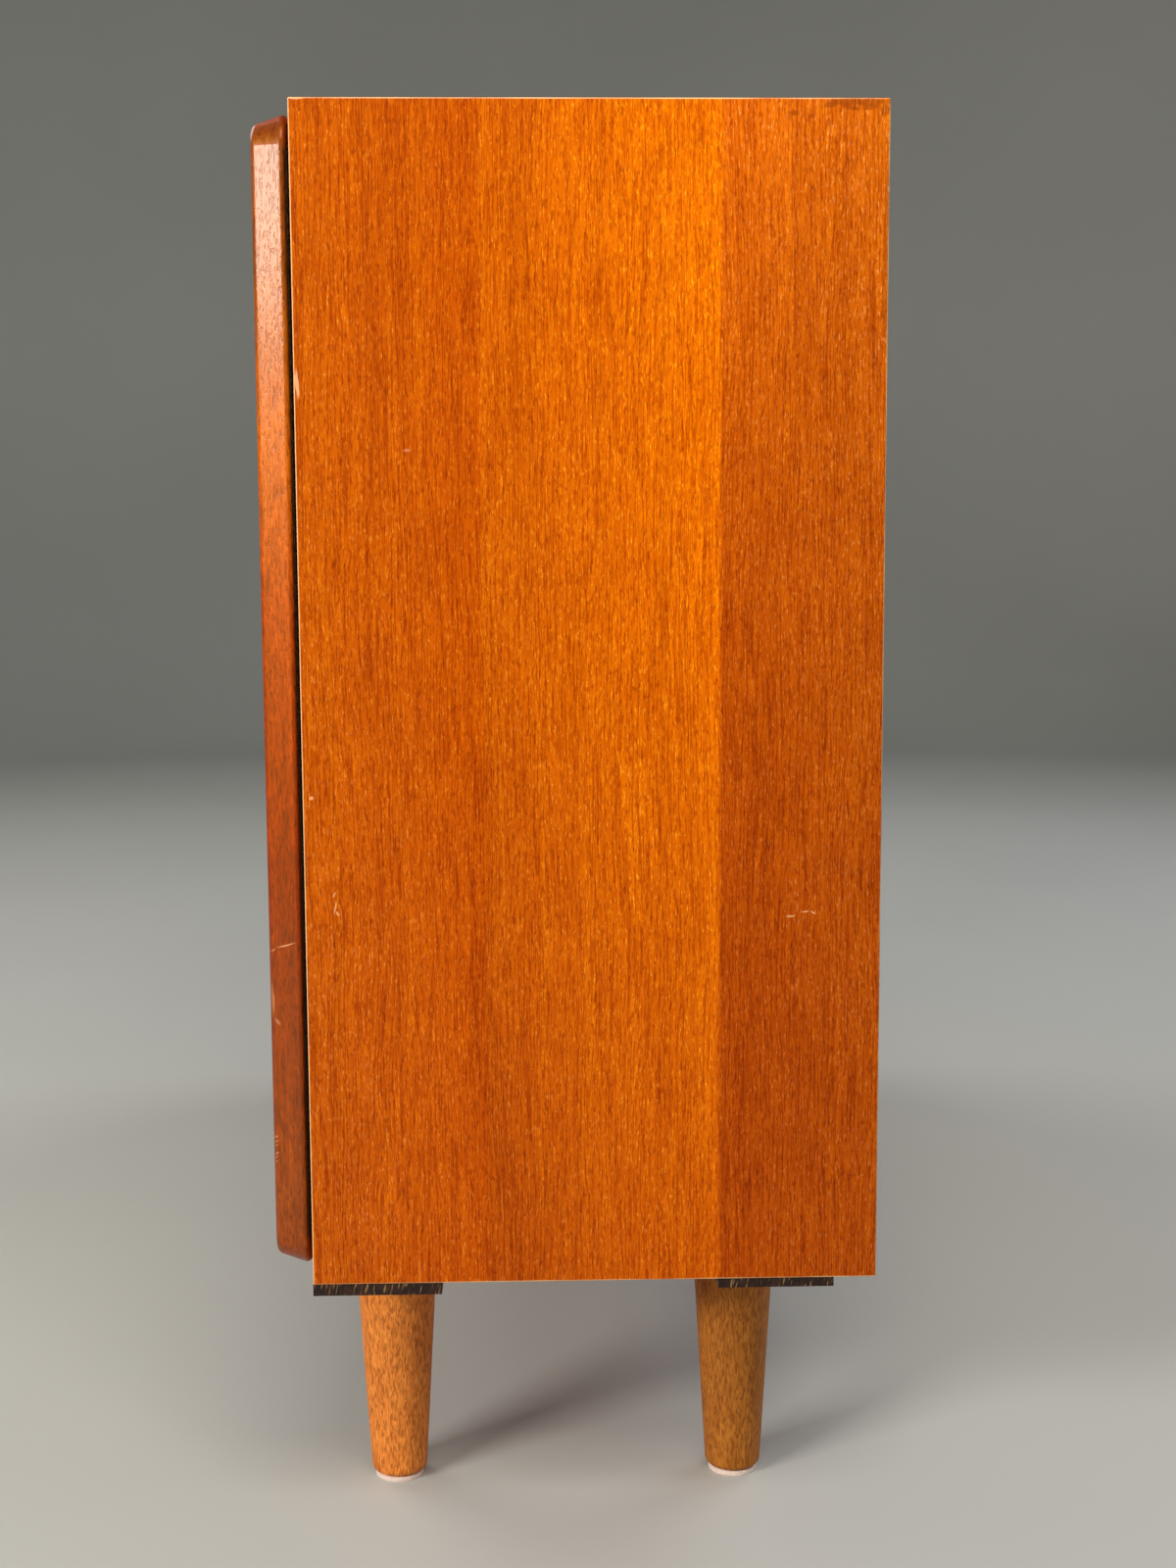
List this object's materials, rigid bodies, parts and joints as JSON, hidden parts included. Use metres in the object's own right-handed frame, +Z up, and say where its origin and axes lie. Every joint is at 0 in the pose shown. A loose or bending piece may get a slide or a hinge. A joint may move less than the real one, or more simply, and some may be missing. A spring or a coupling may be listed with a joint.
{
  "type": "bookcase with glass doors",
  "caption": "Low teak bookcase on tapered round legs, with framed glass doors on continuous hinges and adjustable shelves inside.",
  "frame": {"origin": "on the floor, below the middle of the whole bookcase", "axes": "+Z up, the doors face -Y, +X to the right as seen from the front"},
  "size_m": [1.1, 0.3764, 0.8307],
  "materials": {
    "teak_veneer": "lacquered teak veneer",
    "solid_teak": "lacquered solid teak",
    "leg_oak": "oiled turned hardwood",
    "stained_batten": "dark stained, sawn",
    "plywood": "lacquered plywood",
    "beech": "raw",
    "felt": "pressed wool felt",
    "glass": "clear float glass",
    "brass": "aged",
    "steel": "zinc plated",
    "bronzed_steel": "bronzed dark",
    "catch_plastic": "moulded"
  },
  "bodies": {
    "carcass": {"right_side_panel": "teak_veneer", "left_side_panel": "teak_veneer", "top_panel": "teak_veneer", "bottom_panel": "teak_veneer", "centre_divider": "teak_veneer", "back_panel": "plywood", "carcass_tongues": "beech", "back_screws": "steel", "upper_right_shelf": "teak_veneer", "upper_left_shelf": "teak_veneer", "lower_right_shelf": "teak_veneer", "lower_left_shelf": "teak_veneer", "upper_right_shelf_lipping": "solid_teak", "upper_left_shelf_lipping": "solid_teak", "lower_right_shelf_lipping": "solid_teak", "lower_left_shelf_lipping": "solid_teak", "shelf_pins": "brass", "front_batten": "stained_batten", "rear_batten": "stained_batten", "batten_screws": "steel", "front_right_leg": "leg_oak", "front_left_leg": "leg_oak", "rear_right_leg": "leg_oak", "rear_left_leg": "leg_oak", "leg_bolts": "steel", "felt_glides": "felt", "hinge_leaves": "bronzed_steel", "hinge_pins": "bronzed_steel", "hinge_screws": "bronzed_steel", "catch_housings": "catch_plastic", "catch_magnets": "steel", "catch_screws": "steel"},
    "right_door": {"right_hinge_stile": "solid_teak", "right_meeting_stile": "solid_teak", "right_top_rail": "solid_teak", "right_bottom_rail": "solid_teak", "right_glass": "glass", "right_glazing_beads": "solid_teak", "right_knob": "solid_teak", "right_knob_screw": "steel", "right_hinge_leaf": "bronzed_steel", "right_hinge_leaf_screws": "bronzed_steel", "right_strike_plate": "steel", "right_strike_screws": "steel", "right_frame_tongues": "beech"},
    "left_door": {"left_hinge_stile": "solid_teak", "left_meeting_stile": "solid_teak", "left_top_rail": "solid_teak", "left_bottom_rail": "solid_teak", "left_glass": "glass", "left_glazing_beads": "solid_teak", "left_knob": "solid_teak", "left_knob_screw": "steel", "left_hinge_leaf": "bronzed_steel", "left_hinge_leaf_screws": "bronzed_steel", "left_strike_plate": "steel", "left_strike_screws": "steel", "left_frame_tongues": "beech"}
  },
  "joints": [
    {"name": "right_door_hinge", "type": "hinge", "parent": "carcass", "child": "right_door", "pos_m": [0.5472, -0.14305, 0.49625], "axis": [0, 0, 1], "range_deg": [0, 120]},
    {"name": "left_door_hinge", "type": "hinge", "parent": "carcass", "child": "left_door", "pos_m": [-0.5472, -0.14305, 0.49625], "axis": [0, 0, -1], "range_deg": [0, 120]}
  ]
}
